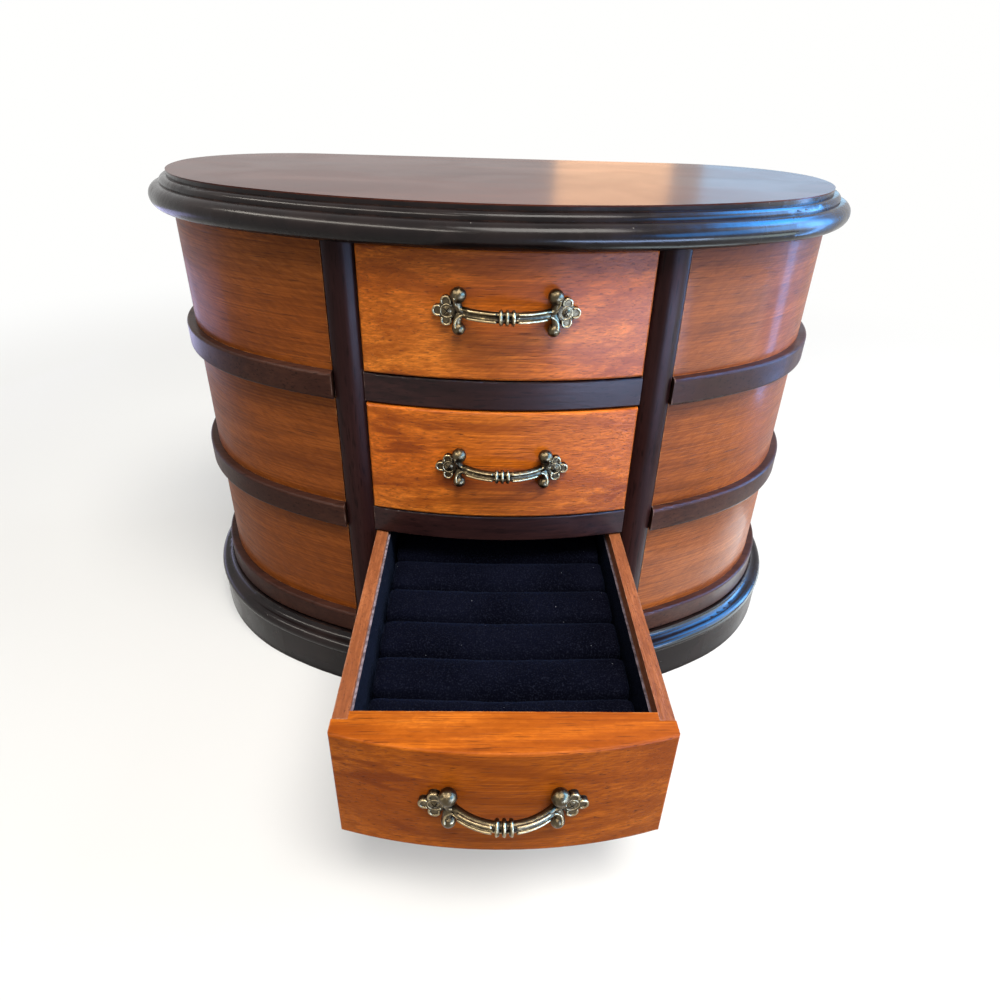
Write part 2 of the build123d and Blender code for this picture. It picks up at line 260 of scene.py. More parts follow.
def stained(tree, grain, dark, middle, light, mottle_share, pore_share, streak_share=0.9):
    """A stain that takes darker in the rings, streaks and pores than in the fibres between them."""
    tone = blend_colour(tree, grain["Tone"], middle, light)
    tone = blend_colour(tree, maths(tree, "MULTIPLY", grain["Ring"], 0.12 + 0.38 * streak_share), tone, dark)
    fibre_share = maths(tree, "MULTIPLY", maths(tree, "SUBTRACT", 1.0, grain["Fibre"]), 0.66)
    tone = blend_colour(tree, fibre_share, tone, dark)
    tone = blend_colour(tree, maths(tree, "MULTIPLY", grain["Streak"], streak_share), tone, dark)
    tone = blend_colour(tree, maths(tree, "MULTIPLY", grain["Mottle"], mottle_share), tone, dark)
    pores = maths(tree, "SUBTRACT", 1.0, maths(tree, "MULTIPLY", grain["Pore"], pore_share))
    return add(tree, "VectorMath", {0: tone, "Scale": pores}, operation="SCALE").outputs[0]


gloss_veneer, tree, shader, spot = finish_of(
    "gloss_veneer", Coat_Weight=0.09, Coat_Roughness=0.19, Specular_IOR_Level=0.03
)
grain = place(tree, wood_grain, Vector=spot, Fibres=520.0, Along=9.0, Figure=22.0, Rings=4.0)
tone = stained(
    tree, grain, rgb(0.040, 0.009, 0.006), rgb(0.085, 0.020, 0.011), rgb(0.13, 0.034, 0.018),
    mottle_share=0.3, pore_share=0.5,
)
skin = place(tree, lacquer_skin, Vector=spot, Waves=20.0, Peel=300.0)
tone = blend_colour(tree, maths(tree, "MULTIPLY", skin["Dust"], 0.6), tone, rgb(0.45, 0.42, 0.40))
tree.links.new(tone, shader.inputs["Base Color"])
tree.links.new(maths(tree, "MULTIPLY_ADD", skin["Dull"], 0.03, 0.24), shader.inputs["Roughness"])
bump(tree, shader, skin["Height"], 0.000022)
give(gloss_veneer, "top_veneer")

# Deck, dividers, posts, back panel and tray bases: espresso-stained boards under satin lacquer, glued up.
# Their grain shows faintly, and corners that get knocked are rubbed to the wood.


def espresso(name, turn, polish, blur, dark, middle, light):
    """The espresso finish with its grain turned to run along a board."""
    made, tree, shader, spot = finish_of(
        name, Coat_Weight=polish * 0.5, Coat_Roughness=blur, Specular_IOR_Level=polish
    )
    along = add(tree, "Mapping", {"Vector": spot, "Rotation": turn}).outputs[0]
    grain = place(tree, wood_grain, Vector=along, Fibres=480.0, Along=11.0, Figure=26.0, Rings=3.0)
    tone = stained(tree, grain, dark, middle, light, mottle_share=0.2, pore_share=0.5)
    edges = place(tree, rubbed_edges, Vector=spot, Reach=0.0016, Breakup=210.0)
    tone = blend_colour(tree, maths(tree, "MULTIPLY", edges["Mask"], 0.85), tone, rgb(0.26, 0.17, 0.14))
    tree.links.new(tone, shader.inputs["Base Color"])
    skin = place(tree, lacquer_skin, Vector=spot, Waves=30.0, Peel=500.0)
    tree.links.new(maths(tree, "MULTIPLY_ADD", skin["Dull"], 0.14, 0.30), shader.inputs["Roughness"])
    relief = maths(tree, "ADD", maths(tree, "MULTIPLY", grain["Fibre"], 0.12), skin["Height"])
    bump(tree, shader, relief, 0.0002)
    return made


quarter = math.pi / 2
stain = (rgb(0.015, 0.0056, 0.0056), rgb(0.032, 0.0115, 0.0110), rgb(0.044, 0.0160, 0.0145))
# The tray bases take a lighter copy of the stain: partly their own browner colour, partly painted light.
band_stain_and_light = (rgb(0.030, 0.0115, 0.0085), rgb(0.062, 0.0235, 0.0150), rgb(0.082, 0.0320, 0.0200))
level_grain, upright_grain = (0.0, 0.0, 0.0), (0.0, quarter, 0.0)
satin, dull, sharp, soft = 0.12, 0.045, 0.2, 0.45
espresso_boards = espresso("espresso_boards", level_grain, satin, sharp, *stain)
espresso_posts = espresso("espresso_posts", upright_grain, dull, sharp, *stain)
espresso_bands_and_light = espresso("espresso_bands_and_light", level_grain, dull, soft, *band_stain_and_light)
give(espresso_boards, "base_deck", "lower_divider", "upper_divider", "back_panel")
give(espresso_posts, "left_post", "right_post", "left_partition", "right_partition")

# Pivot rods and washers: drawn steel rods that the trays turn on, with a thin washer under each tray.
# The rods stand in blind holes in the plinth and the top board.
bright_steel, tree, shader, spot = finish_of("bright_steel", Metallic=1.0)
drawn = add(tree, "Mapping", {"Vector": spot, "Scale": (2600.0, 2600.0, 40.0)}).outputs[0]
lines = add(tree, "TexNoise", {"Vector": drawn, "Scale": 1.0, "Detail": 3.0}).outputs[0]
tone = blend_colour(tree, lines, rgb(0.42, 0.42, 0.43), rgb(0.62, 0.61, 0.60))
tree.links.new(tone, shader.inputs["Base Color"])
tree.links.new(maths(tree, "MULTIPLY_ADD", lines, 0.2, 0.22), shader.inputs["Roughness"])
bump(tree, shader, lines, 0.00003)
give(bright_steel, "pivot_rods", "pivot_washers")

# Drawer fronts and tray panels: bowed fronts and bent sides in honey-stained wood under satin lacquer.
# Fine dark fibres and slow rings run level across each one, and the edges are lightly rubbed; their pale
# edge colour is partly wear and partly a painted highlight.
levels = ("bottom", "middle", "top")
sides = ("left", "right")
side_radius, side_centre = 0.117, 0.062


def round_the_side(tree, spot):
    """Coordinates that run along the bent sides of the box, so that the grain follows the bend."""
    x, y, z = add(tree, "SeparateXYZ", {0: spot}).outputs
    out = maths(tree, "SUBTRACT", maths(tree, "ABSOLUTE", x), side_centre)
    turn = maths(tree, "ARCTAN2", y, out)
    run = maths(tree, "MULTIPLY_ADD", turn, side_radius, maths(tree, "SIGN", x))
    return add(tree, "CombineXYZ", {0: run, 2: z}).outputs[0]


def honey(name, dark, middle, light, mottle_share, polish, bent=False):
    """The honey finish, whose grain runs level on upright faces."""
    made, tree, shader, spot = finish_of(
        name, Coat_Weight=polish * 0.45, Coat_Roughness=0.13 if bent else 0.18,
        Specular_IOR_Level=polish * 0.3 if bent else polish,
    )
    along = round_the_side(tree, spot) if bent else spot
    grain = place(tree, wood_grain, Vector=along, Fibres=1000.0, Along=8.0, Figure=30.0, Rings=5.0)
    streak_share = 0.4 if bent else 0.9
    tone = stained(tree, grain, dark, middle, light, mottle_share, 0.5, streak_share)
    edges = place(tree, rubbed_edges, Vector=spot, Reach=0.0011, Breakup=200.0)
    # The pale edge colour is partly wear and partly a painted highlight along the edges.
    tone = blend_colour(tree, maths(tree, "MULTIPLY", edges["Mask"], 0.7), tone, rgb(0.72, 0.32, 0.11))
    tree.links.new(tone, shader.inputs["Base Color"])
    skin = place(tree, lacquer_skin, Vector=spot, Waves=28.0, Peel=480.0)
    tree.links.new(maths(tree, "MULTIPLY_ADD", skin["Dull"], 0.10, 0.40), shader.inputs["Roughness"])
    relief = maths(tree, "MULTIPLY_ADD", grain["Fibre"], 0.35, maths(tree, "MULTIPLY", grain["Pore"], -0.5))
    bump(tree, shader, maths(tree, "ADD", relief, skin["Height"]), 0.00014)
    return made


honey_fronts = honey(
    "honey_fronts", rgb(0.27, 0.050, 0.003), rgb(0.84, 0.200, 0.014), rgb(0.95, 0.290, 0.032),
    mottle_share=0.34, polish=0.13,
)
honey_panels = honey(
    "honey_panels", rgb(0.13, 0.029, 0.004), rgb(0.37, 0.094, 0.013), rgb(0.51, 0.145, 0.024),
    mottle_share=0.42, polish=0.17, bent=True,
)
# The bottom drawer front takes a darker, less polished copy of the front finish: painted shade on the lowest
# front.
honey_shaded_front = honey(
    "honey_shaded_front", rgb(0.22, 0.042, 0.003), rgb(0.55, 0.136, 0.009), rgb(0.72, 0.212, 0.020),
    mottle_share=0.34, polish=0.05,
)
for level in levels:
    give(honey_shaded_front if level == "bottom" else honey_fronts, f"{level}_drawer_front")
    for side in sides:
        give(honey_panels, f"{side}_{level}_tray_panel")
        give(espresso_bands_and_light, f"{side}_{level}_tray_base")
        give(espresso_boards, f"{side}_{level}_tray_wall")

# Drawer sides, backs and bottoms: plain boards with a thin reddish stain, grooved and glued.
# Their top edges are handled most, and show small rubbed and chipped spots.
box_board, tree, shader, spot = finish_of(
    "box_board", Coat_Weight=0.03, Coat_Roughness=0.3, Specular_IOR_Level=0.1
)
along = add(tree, "Mapping", {"Vector": spot, "Rotation": (0.0, 0.0, quarter)}).outputs[0]
grain = place(tree, wood_grain, Vector=along, Fibres=700.0, Along=60.0, Figure=44.0, Rings=4.0)
tone = stained(
    tree, grain, rgb(0.19, 0.056, 0.019), rgb(0.38, 0.127, 0.047), rgb(0.49, 0.180, 0.074),
    mottle_share=0.5, pore_share=0.4,
)
edges = place(tree, rubbed_edges, Vector=spot, Reach=0.0013, Breakup=240.0)
tone = blend_colour(tree, maths(tree, "MULTIPLY", edges["Mask"], 0.6), tone, rgb(0.50, 0.30, 0.20))
tree.links.new(tone, shader.inputs["Base Color"])
tree.links.new(maths(tree, "MULTIPLY_ADD", grain["Fibre"], -0.12, 0.5), shader.inputs["Roughness"])
bump(tree, shader, maths(tree, "MULTIPLY_ADD", grain["Pore"], -0.6, grain["Fibre"]), 0.00012)
for level in levels:
    for board in ("right_side", "left_side", "back", "bottom"):
        give(box_board, f"{level}_drawer_{board}")

# Linings: blue-black velvet on thin card, glued over the boards of each drawer and tray.
# The pile is short and holds a little lint, and the cut edge of the card shows pale at the rim.
lint_cells, lint_limit, lint_size = 330.0, 0.90, 0.085
velvet_pile, ins, outs = effect(
    "velvet_pile", [("Vector", "Vector", None), ("Pile", "Float", 1500.0)], ["Nap", "Height", "Lint"]
)
nap = add(velvet_pile, "TexNoise", {"Vector": ins["Vector"], "Scale": 38.0, "Detail": 3.0}).outputs[0]
velvet_pile.links.new(ease(velvet_pile, nap, 0.3, 0.7), outs["Nap"])
tufts = add(
    velvet_pile, "TexNoise", {"Vector": ins["Vector"], "Scale": ins["Pile"], "Detail": 2.0}
).outputs[0]
velvet_pile.links.new(tufts, outs["Height"])
flecks = specks(velvet_pile, ins["Vector"], lint_cells, lint_limit, lint_size, 1)
velvet_pile.links.new(flecks, outs["Lint"])

velvet, tree, shader, spot = finish_of(
    "velvet", Sheen_Weight=0.07, Sheen_Roughness=0.35, Sheen_Tint=rgb(0.14, 0.22, 0.46),
    Specular_IOR_Level=0.008,
)
pile = place(tree, velvet_pile, Vector=spot)
tone = blend_colour(tree, pile["Nap"], rgb(0.0014, 0.0016, 0.0044), rgb(0.0026, 0.0031, 0.0080))
speck = ease(tree, pile["Height"], 0.48, 0.74)
tone = blend_colour(tree, speck, tone, rgb(0.0100, 0.0115, 0.0205))
tone = blend_colour(tree, maths(tree, "MULTIPLY", pile["Lint"], 0.7), tone, rgb(0.16, 0.17, 0.20))
tree.links.new(tone, shader.inputs["Base Color"])
tree.links.new(maths(tree, "MULTIPLY_ADD", pile["Nap"], 0.06, 0.90), shader.inputs["Roughness"])
bump(tree, shader, pile["Height"], 0.0004)
lining_card, tree, shader, spot = finish_of("lining_card", Roughness=0.9, Specular_IOR_Level=0.05)
torn = add(tree, "TexNoise", {"Vector": spot, "Scale": 420.0, "Detail": 3.0}).outputs[0]
tone = blend_colour(tree, ease(tree, torn, 0.3, 0.7), rgb(0.09, 0.07, 0.08), rgb(0.27, 0.23, 0.27))
tree.links.new(tone, shader.inputs["Base Color"])
inner_corner = 0.0013
card_edge = 0.0016
short_wall = 0.005
hair = 0.0001
weld = 1e-6
flat_angle = math.radians(2.0)
facing_up, inner_bend = 0.9, -0.5


def piece_of(shape, name, *finishes):
    """A linked object made from a finished bmesh, with its materials in order."""
    mesh = bpy.data.meshes.new(name)
    shape.to_mesh(mesh)
    shape.free()
    for finish in finishes:
        mesh.materials.append(finish)
    made = bpy.data.objects.new(name, mesh)
    bpy.context.scene.collection.objects.link(made)
    return made


def lining(node, body, short=0.0):
    """A sheet of velvet on card pressed over a box's boards; short is how low its right wall was cut."""
    shape = bmesh.new()
    shape.from_mesh(nodes[node].data)
    bmesh.ops.remove_doubles(shape, verts=shape.verts, dist=weld)
    bmesh.ops.dissolve_limit(shape, angle_limit=flat_angle, verts=shape.verts, edges=shape.edges)
    top = max(v.co.z for v in shape.verts)
    right = max(v.co.x for v in shape.verts)
    rim = [f for f in shape.faces if f.normal.z > facing_up and f.calc_center_median().z > top - hair]
    for face in bmesh.ops.triangulate(shape, faces=rim)["faces"]:
        face.material_index = 1
    for vertex in shape.verts:
        if vertex.co.z > top - hair and vertex.co.x > right - card_edge:
            vertex.co.z -= short
    turned_up = [e for e in shape.edges if e.is_manifold and e.calc_face_angle_signed() < inner_bend]
    bmesh.ops.bevel(
        shape, geom=turned_up, offset=inner_corner, segments=3, profile=0.5, affect="EDGES", material=-1
    )
    bmesh.ops.recalc_face_normals(shape, faces=shape.faces)
    cut = sum(face.calc_area() for face in shape.faces) / 2
    made = piece_of(shape, node.replace("lining", "velvet"), velvet, lining_card)
    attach(made, body)
    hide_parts(node)


for level in levels:
    drawer = f"{level}_drawer"
    short = short_wall if level == "bottom" else 0.0
    lining(f"{drawer}_lining", drawer, short)
    for side in sides:
        tray = f"{side}_{level}_tray"
        lining(f"{tray}_lining", tray)

# Ring rolls: six foam rolls wrapped in the same velvet, set side by side in the bottom drawer.
# Each is cut from a block with its top edges rounded off, and the cover swells a little.
roll_count = 6
roll_slit = 0.0006
crown_round = 0.0034
end_round = 0.0014
swell_room = 0.0006
voxel = 0.0022
swell_pressure = 3.0
swell_steps = 4
swell_frames = 14
swell_cap = 0.0014
dent_scale, dent_depth = 60.0, 0.0007
low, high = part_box("bottom_drawer_ring_rolls")
roll_pitch = (high.y - low.y + roll_slit) / roll_count
roll_size = Vector((high.x - low.x, roll_pitch - roll_slit, high.z - low.z)) - Vector((swell_room,) * 3) * 2
roll_centre = Vector(((low.x + high.x) / 2, low.y + (roll_pitch - roll_slit) / 2, (low.z + high.z) / 2))


def padded_roll(name):
    """One roll, its long top edges rounded widely and its other edges a little."""
    shape = bmesh.new()
    bmesh.ops.create_cube(shape, size=1.0)
    bmesh.ops.scale(shape, vec=roll_size, verts=shape.verts)
    crest = [e for e in shape.edges
             if all(v.co.z > 0 for v in e.verts) and e.verts[0].co.y == e.verts[1].co.y]
    bmesh.ops.bevel(
        shape, geom=crest, offset=crown_round, segments=6, profile=0.5, affect="EDGES", material=-1
    )
    end_plane = roll_size.x / 2 - swell_room
    ends = [e for e in shape.edges
            if abs(e.verts[0].co.x - e.verts[1].co.x) < swell_room and abs(e.verts[0].co.x) > end_plane]
    bmesh.ops.bevel(
        shape, geom=ends, offset=end_round, segments=3, profile=0.5, affect="EDGES", material=-1
    )
    return piece_of(shape, name)


def swollen(piece):
    """The roll's mesh after its cover has been blown up a little by cloth simulation."""
    remesh = piece.modifiers.new("even_mesh", "REMESH")
    remesh.mode = "VOXEL"
    remesh.voxel_size = voxel
    graph = bpy.context.evaluated_depsgraph_get()
    even = bpy.data.meshes.new_from_object(piece.evaluated_get(graph))
    piece.modifiers.clear()
    piece.data = even
    start = [v.co.copy() for v in even.vertices]
    cloth = piece.modifiers.new("cover", "CLOTH")
    cloth.settings.use_pressure = True
    cloth.settings.uniform_pressure_force = swell_pressure
    cloth.settings.effector_weights.gravity = 0.0
    cloth.settings.quality = swell_steps
    for step in range(1, swell_frames + 1):
        bpy.context.scene.frame_set(step)
    graph = bpy.context.evaluated_depsgraph_get()
    blown = bpy.data.meshes.new_from_object(piece.evaluated_get(graph))
    piece.modifiers.clear()
    bpy.context.scene.frame_set(1)
    for vertex, home in zip(blown.vertices, start):
        move = vertex.co - home
        if move.length > swell_cap:
            move *= swell_cap / move.length
        vertex.co = home + move
    piece.data = blown


former = padded_roll("roll_former")
swollen(former)
cover = former.data
limits = [max(abs(v.co[axis]) for v in cover.vertices) for axis in range(3)]
room = roll_size / 2 + Vector((swell_room,) * 3)
cover.transform(Matrix.Diagonal([min(1.0, room[axis] / limits[axis]) for axis in range(3)]).to_4x4())
bpy.data.objects.remove(former)
for number in range(roll_count):
    roll = bpy.data.objects.new(f"ring_roll_{number + 1}", cover.copy())
    bpy.context.scene.collection.objects.link(roll)
    centre = roll_centre + Vector((0.0, number * roll_pitch, 0.0))
    for vertex in roll.data.vertices:
        if vertex.co.z > 0:
            vertex.co.z -= abs(noise.noise((vertex.co + centre) * dent_scale)) * dent_depth
    roll.data.transform(Matrix.Translation(centre))
    roll.data.polygons.foreach_set("use_smooth", [True] * len(roll.data.polygons))
    finer = roll.modifiers.new("smooth_cover", "SUBSURF")
    finer.levels = finer.render_levels = 1
    roll.data.materials.clear()
    roll.data.materials.append(velvet)
    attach(roll, "bottom_drawer")
    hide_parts("bottom_drawer_ring_rolls")

# Drawer pulls: cast bows in antique brass, dark in the hollows and bright where hands rub them.
# Raised ridges edge the petals, the bow and its scrolls, and a cross-head screw holds each end.
front_radius = 0.236
pull_half_spacing = 0.0255
bow_half, bow_start, bow_crown, bar_half_depth = 0.0186, 0.0024, 0.0100, 0.0017
petal_reach, petal_rim, petal_turn = 0.00405, 0.00200, math.radians(122.0)
petal_angles = (0.0, 85.0, -85.0)
rosette_level, ridge = -0.0021, 0.00055
hub_rim, hub_turn, hub_ridge = 0.0028, math.radians(140.0), 0.00028
scroll_back, scroll_rise = 0.0052, 0.0072
upper_ball, lower_ball = 0.0035, 0.0029
arm_foot, arm_waist = Vector((-0.0074, -0.0043, 0.0011)), Vector((-0.0041, -0.0014, 0.0036))
ball_touch = Vector((0.35, -0.88, -0.20))
bar_ridge_rise, bar_ridge_ends = 0.00165, (0.0046, 0.0172)
ring_pitch, ring_crest = 0.0026, 0.0030
screw_radius, screw_rise, screw_dome, screw_turn = 0.0022, 0.0007, 0.30, 0.6
slot_depth, slot_half, slot_reach = 0.0007, 0.14, 0.72


def brass(name, dull, middle, rubbed, rubbed_share):
    """Cast brass with dark patina in its hollows and bare metal on its crests."""
    made, tree, shader, spot = finish_of(name, Metallic=1.0)
    hollows = add(tree, "AmbientOcclusion", {"Distance": 0.0020}, samples=8).outputs["AO"]
    blotch = add(
        tree, "TexNoise", {"Vector": spot, "Scale": 520.0, "Detail": 4.0, "Roughness": 0.7}
    ).outputs[0]
    edges = place(tree, rubbed_edges, Vector=spot, Reach=0.0006, Breakup=700.0)
    open_share = maths(tree, "ADD", hollows, maths(tree, "MULTIPLY_ADD", blotch, 0.9, -0.45))
    worn = ease(tree, open_share, 0.50, 1.05)
    tone = blend_colour(tree, worn, dull, middle)
    polished = maths(tree, "MULTIPLY", ease(tree, blotch, 0.56, 0.74), worn)
    bright = maths(tree, "MAXIMUM", edges["Mask"], polished)
    tone = blend_colour(tree, maths(tree, "MULTIPLY", bright, rubbed_share), tone, rubbed)
    tree.links.new(tone, shader.inputs["Base Color"])
    tree.links.new(maths(tree, "MULTIPLY_ADD", worn, -0.16, 0.44), shader.inputs["Roughness"])
    bump(tree, shader, blotch, 0.00022)
    return made


patina_brass = brass(
    "patina_brass", rgb(0.010, 0.008, 0.008), rgb(0.080, 0.061, 0.035), rgb(0.44, 0.34, 0.18),
    rubbed_share=0.6,
)
rubbed_brass = brass(
    "rubbed_brass", rgb(0.035, 0.027, 0.018), rgb(0.27, 0.210, 0.118), rgb(0.80, 0.67, 0.43),
    rubbed_share=0.9,
)


def arc_rod(shape, thick, first, middle, last):
    """Adds a thin round ridge along the circular arc through three points."""
    to_middle, to_last = middle - first, last - first
    axis = to_middle.cross(to_last)
    centre = first + (
        axis.cross(to_middle) * to_last.length_squared + to_last.cross(axis) * to_middle.length_squared
    ) / (2.0 * axis.length_squared)
    axis.normalize()
    spoke = first - centre
    swing = math.atan2(axis.dot(spoke.cross(last - centre)), spoke.dot(last - centre)) % math.tau
    circle = bmesh.ops.create_circle(shape, segments=8, radius=thick)["verts"]
    facing = axis.cross(spoke).to_track_quat("Z", "Y").to_matrix()
    bmesh.ops.rotate(shape, verts=circle, matrix=facing)
    bmesh.ops.translate(shape, verts=circle, vec=first)
    loop = list({e for v in circle for e in v.link_edges})
    swept = bmesh.ops.spin(shape, geom=[*circle, *loop], cent=centre, axis=axis, angle=swing, steps=18)
    end = [g for g in swept["geom_last"] if isinstance(g, bmesh.types.BMEdge)]
    bmesh.ops.contextual_create(shape, geom=loop)
    bmesh.ops.contextual_create(shape, geom=end)


def cross_head(shape, seat, turn):
    """Adds a domed screw head with a cross pressed into it, on the face of a rosette."""
    grid = bmesh.ops.create_grid(shape, x_segments=9, y_segments=9, size=1.0)["verts"]
    for vertex in grid:
        across, up = vertex.co.x, vertex.co.y
        vertex.co.x = across * math.sqrt(1.0 - up * up / 2)
        vertex.co.y = up * math.sqrt(1.0 - across * across / 2)
        vertex.co.z = screw_dome * (1.0 - vertex.co.x ** 2 - vertex.co.y ** 2)
    bmesh.ops.scale(shape, verts=grid, vec=(screw_radius, screw_radius, screw_radius))
    cross = []
    for face in {f for v in grid for f in v.link_faces}:
        spot_in = face.calc_center_median() / screw_radius
        near, far = sorted((abs(spot_in.x), abs(spot_in.y)))
        if near < slot_half and far < slot_reach:
            cross.append(face)
    pressed = bmesh.ops.extrude_face_region(shape, geom=cross)
    sunk = [g for g in pressed["geom"] if isinstance(g, bmesh.types.BMVert)]
    bmesh.ops.translate(shape, verts=sunk, vec=(0.0, 0.0, -slot_depth))
    bmesh.ops.delete(shape, geom=cross, context="FACES")
    rim_edges = [e for e in shape.edges if len(e.link_faces) == 1 and all(v in grid for v in e.verts)]
    skirt = bmesh.ops.extrude_edge_only(shape, edges=rim_edges)
    foot = [g for g in skirt["geom"] if isinstance(g, bmesh.types.BMVert)]
    bmesh.ops.translate(shape, verts=foot, vec=(0.0, 0.0, -screw_rise))
    whole = list({*grid, *sunk, *foot})
    bmesh.ops.rotate(shape, verts=whole, matrix=Matrix.Rotation(turn, 3, "Z"))
    bmesh.ops.rotate(shape, verts=whole, matrix=Matrix.Rotation(quarter, 3, "X"))
    bmesh.ops.translate(shape, verts=whole, vec=(0.0, rosette_level, 0.0))
    bmesh.ops.transform(shape, matrix=seat, verts=whole)


for level in levels:
    give(patina_brass, f"{level}_drawer_pull")
    face_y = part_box(f"{level}_drawer_front")[0].y
    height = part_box(f"{level}_drawer_pull")[1].z - scroll_rise - upper_ball
    bow_rise = bow_crown - bow_start
    bow_radius = (bow_half ** 2 + bow_rise ** 2) / (2 * bow_rise)
    outer = bow_radius + bar_half_depth
    ridges = bmesh.new()
    heads = bmesh.new()
    for end in (-1, 1):
        seat = (
            Matrix.Translation((0.0, face_y + front_radius, height))
            @ Matrix.Rotation(end * math.asin(pull_half_spacing / front_radius), 4, "Z")
            @ Matrix.Translation((0.0, -front_radius, 0.0))
        )
        for angle in petal_angles:
            outward = math.radians(angle)
            spots = []
            for turn in (outward - petal_turn, outward, outward + petal_turn):
                x = petal_reach * math.cos(outward) + petal_rim * math.cos(turn)
                z = petal_reach * math.sin(outward) + petal_rim * math.sin(turn)
                spots.append(seat @ Vector((end * x, rosette_level, z)))
            arc_rod(ridges, ridge, *spots)
        hub = []
        for turn in (-hub_turn, 0.0, hub_turn):
            x, z = hub_rim * math.cos(turn), hub_rim * math.sin(turn)
            hub.append(seat @ Vector((end * x, rosette_level, z)))
        arc_rod(ridges, hub_ridge, *hub)
        for side, ball in ((1, upper_ball), (-1, lower_ball)):
            tip = Vector((-scroll_back, -ball, scroll_rise)) + ball_touch * ball
            for_arm = (arm_foot, arm_waist - Vector((0.0, ball, 0.0)), tip)
            arc_rod(ridges, ridge, *[seat @ Vector((p.x * end, p.y, p.z * side)) for p in for_arm])
        for side in (-1, 1):
            spots = []
            for x in (bar_ridge_ends[0], sum(bar_ridge_ends) / 2, bar_ridge_ends[1]):
                y = face_y - bow_crown + bow_radius - math.sqrt(outer ** 2 - x ** 2)
                spots.append(Vector((end * x, y, height + side * bar_ridge_rise)))
            arc_rod(ridges, ridge, *spots)
        cross_head(heads, seat, screw_turn * end)
    for ring in (-1, 0, 1):
        lean = math.asin(ring * ring_pitch / bow_radius)
        ahead = Vector((math.sin(lean), -math.cos(lean), 0.0))
        middle = Vector((0.0, face_y - bow_crown + bow_radius, height)) + ahead * bow_radius
        rise = Vector((0.0, 0.0, ring_crest))
        arc_rod(ridges, ridge, middle + rise, middle + ahead * ring_crest, middle - rise)
    for shape, name, finish in (
        (ridges, f"{level}_pull_ridges", rubbed_brass), (heads, f"{level}_pull_screws", patina_brass)
    ):
        bmesh.ops.recalc_face_normals(shape, faces=shape.faces)
        piece = piece_of(shape, name, finish)
        smooth = [shape is ridges] * len(piece.data.polygons)
        piece.data.polygons.foreach_set("use_smooth", smooth)
        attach(piece, f"{level}_drawer")

# Studio: a pale paper sweep that curves up behind the box, with soft lamps and the photo's camera.
# Lamps named glint show in polish alone, and stand for the windows, lamp and floor round the real box.
sweep_half = 6.0
sweep_front = -4.0
sweep_back = 3.0
sweep_bend = 1.2
sweep_top = 4.0
sweep_steps = 24
glow_near, glow_from, glow_full = 0.35, 0.42, 1.00
air_light = 0.40
white = rgb(1.0, 1.0, 0.99)


def eye_rays(tree):
    """1 for rays from the camera, a polished face or a clear one, and 0 for the rest."""
    rays = tree.nodes.new("ShaderNodeLightPath").outputs
    mirrored = maths(tree, "MAXIMUM", rays["Is Glossy Ray"], rays["Is Transmission Ray"])
    return maths(tree, "MAXIMUM", rays["Is Camera Ray"], mirrored)


paper, tree, shader, spot = finish_of("paper", Roughness=0.9, Specular_IOR_Level=0.1)
seen = eye_rays(tree)
glow = add(tree, "Emission", {"Color": white, "Strength": 1.0}).outputs[0]
away = add(tree, "VectorMath", {0: spot}, operation="LENGTH").outputs["Value"]
far_off = ease(tree, away, glow_from, glow_full)
glow_share = maths(tree, "MULTIPLY_ADD", far_off, 1.0 - glow_near, glow_near)
glow_share = maths(tree, "MULTIPLY", seen, glow_share)
lit = add(tree, "MixShader", {0: glow_share, 1: shader.outputs[0], 2: glow})
tree.links.new(lit.outputs[0], tree.nodes["Material Output"].inputs["Surface"])
mottle = add(tree, "TexNoise", {"Vector": spot, "Scale": 3.0, "Detail": 2.0}).outputs[0]
bounce = blend_colour(tree, mottle, rgb(0.20, 0.20, 0.197), rgb(0.23, 0.23, 0.226))
shown = blend_colour(tree, mottle, rgb(0.70, 0.70, 0.69), rgb(0.74, 0.74, 0.73))
tree.links.new(blend_colour(tree, seen, bounce, shown), shader.inputs["Base Color"])
ground = bmesh.new()
edge = [ground.verts.new((side * sweep_half, sweep_front, 0.0)) for side in (-1, 1)]
run = ground.edges.new(edge)
floor_run = bmesh.ops.extrude_edge_only(ground, edges=[run])["geom"]
far = [g for g in floor_run if isinstance(g, bmesh.types.BMVert)]
bmesh.ops.translate(ground, verts=far, vec=(0.0, sweep_back - sweep_front, 0.0))
far_edge = [g for g in floor_run if isinstance(g, bmesh.types.BMEdge) and all(v in far for v in g.verts)]
bend_centre = (0.0, sweep_back, sweep_bend)
bent = bmesh.ops.spin(
    ground, geom=[*far, *far_edge], cent=bend_centre, axis=(1.0, 0.0, 0.0), angle=quarter,
    steps=sweep_steps,
)["geom_last"]
wall_edge = [g for g in bent if isinstance(g, bmesh.types.BMEdge)]
wall_run = bmesh.ops.extrude_edge_only(ground, edges=wall_edge)["geom"]
crown = [g for g in wall_run if isinstance(g, bmesh.types.BMVert)]
bmesh.ops.translate(ground, verts=crown, vec=(0.0, 0.0, sweep_top))
bmesh.ops.recalc_face_normals(ground, faces=ground.faces)
studio_sweep = piece_of(ground, "studio_sweep", paper)
studio_sweep.data.polygons.foreach_set("use_smooth", [True] * len(studio_sweep.data.polygons))

scene = bpy.context.scene
scene.view_settings.view_transform = "Standard"
world = bpy.data.worlds.new("studio_air")
world.use_nodes = True
air = world.node_tree
backdrop = air.nodes["Background"].inputs
backdrop["Color"].default_value = white
air_strength = maths(air, "MULTIPLY_ADD", eye_rays(air), 1.0 - air_light, air_light)
air.links.new(air_strength, backdrop["Strength"])
scene.world = world
aim = Vector((0.0, -0.05, 0.13))


